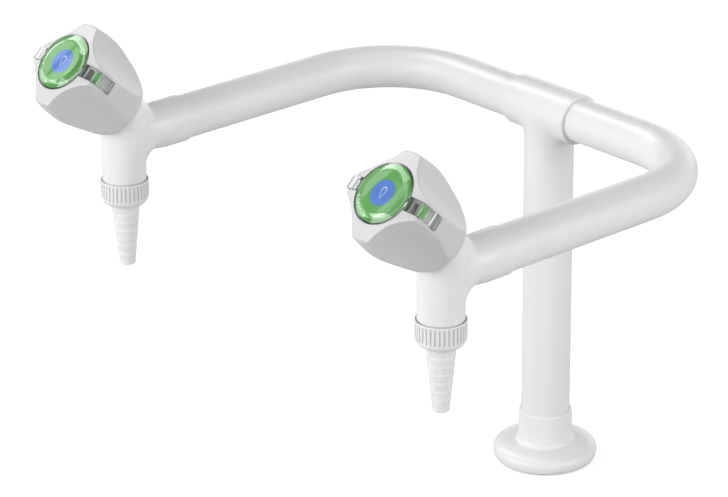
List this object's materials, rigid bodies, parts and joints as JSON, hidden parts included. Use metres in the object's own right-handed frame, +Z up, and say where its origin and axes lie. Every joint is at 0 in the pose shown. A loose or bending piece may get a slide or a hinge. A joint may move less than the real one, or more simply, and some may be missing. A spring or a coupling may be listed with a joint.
{
  "type": "double-outlet laboratory bench tap",
  "caption": "Bench-mounted laboratory water tap: a column carries a level U of tube with two outlets, each with an inclined lobed knob and a removable tapered hose nozzle.",
  "frame": {"origin": "centre of the foot flange's flat face, where it stands on the bench, on the axis of the column and of the inlet thread", "axes": "+Z up along the column; the arms run forward along -Y; the two outlets lie at -X (left) and +X (right)"},
  "size_m": [0.3138, 0.2849, 0.2826],
  "materials": {
    "coated_white": "glossy white chemical-resistant powder coat",
    "knob_white": "satin moulded plastic, light grey-white",
    "nozzle_white": "satin to glossy off-white moulded plastic",
    "clear_plastic": "polished clear plastic",
    "media_green": "printed green disc",
    "media_blue": "printed blue centre",
    "seal_black": "matte black rubber",
    "brass_yellow": "machined brass",
    "ceramic_cream": "lapped ceramic",
    "steel_grey": "stainless steel screw"
  },
  "bodies": {
    "tap": {"base_flange": "coated_white", "foot_gasket": "seal_black", "column": "coated_white", "tee": "coated_white", "left_arm": "coated_white", "right_arm": "coated_white", "left_valve_body": "coated_white", "left_seat_seal": "seal_black", "left_fixed_disc": "ceramic_cream", "left_bonnet": "brass_yellow", "right_valve_body": "coated_white", "right_seat_seal": "seal_black", "right_fixed_disc": "ceramic_cream", "right_bonnet": "brass_yellow"},
    "left_knob_set": {"left_knob": "knob_white", "left_knob_screw": "steel_grey", "left_media_disc": "media_green", "left_media_centre": "media_blue", "left_side_markers": "media_green", "left_clear_cap": "clear_plastic", "left_spindle": "brass_yellow", "left_spindle_rings": "seal_black", "left_turning_disc": "ceramic_cream"},
    "left_nozzle_set": {"left_hose_nozzle": "nozzle_white", "left_nozzle_seal": "seal_black"},
    "left_nut": {"left_coupling_nut": "nozzle_white"},
    "right_knob_set": {"right_knob": "knob_white", "right_knob_screw": "steel_grey", "right_media_disc": "media_green", "right_media_centre": "media_blue", "right_side_markers": "media_green", "right_clear_cap": "clear_plastic", "right_spindle": "brass_yellow", "right_spindle_rings": "seal_black", "right_turning_disc": "ceramic_cream"},
    "right_nozzle_set": {"right_hose_nozzle": "nozzle_white", "right_nozzle_seal": "seal_black"},
    "right_nut": {"right_coupling_nut": "nozzle_white"}
  },
  "joints": [
    {"name": "left_knob_turn", "type": "hinge", "parent": "tap", "child": "left_knob_set", "pos_m": [-0.1295, -0.2013, 0.229], "axis": [0, -0.7071, 0.7071], "range_deg": [0, 90]},
    {"name": "left_nozzle_drop", "type": "slide", "parent": "tap", "child": "left_nozzle_set", "axis": [0, 0, -1], "range_m": [0, 0.0064]},
    {"name": "left_nut_unscrew", "type": "hinge", "parent": "left_nozzle_set", "child": "left_nut", "pos_m": [-0.1295, -0.2013, 0.18], "axis": [0, 0, -1], "range_deg": [0, 1260]},
    {"name": "right_knob_turn", "type": "hinge", "parent": "tap", "child": "right_knob_set", "pos_m": [0.1295, -0.2013, 0.229], "axis": [0, -0.7071, 0.7071], "range_deg": [0, 90]},
    {"name": "right_nozzle_drop", "type": "slide", "parent": "tap", "child": "right_nozzle_set", "axis": [0, 0, -1], "range_m": [0, 0.0064]},
    {"name": "right_nut_unscrew", "type": "hinge", "parent": "right_nozzle_set", "child": "right_nut", "pos_m": [0.1295, -0.2013, 0.18], "axis": [0, 0, -1], "range_deg": [0, 1260]}
  ],
  "couplings": [
    {"joint": "left_nozzle_drop", "follows": "left_nut_unscrew", "m_per_rad": 0.00028871},
    {"joint": "right_nozzle_drop", "follows": "right_nut_unscrew", "m_per_rad": 0.00028871}
  ]
}
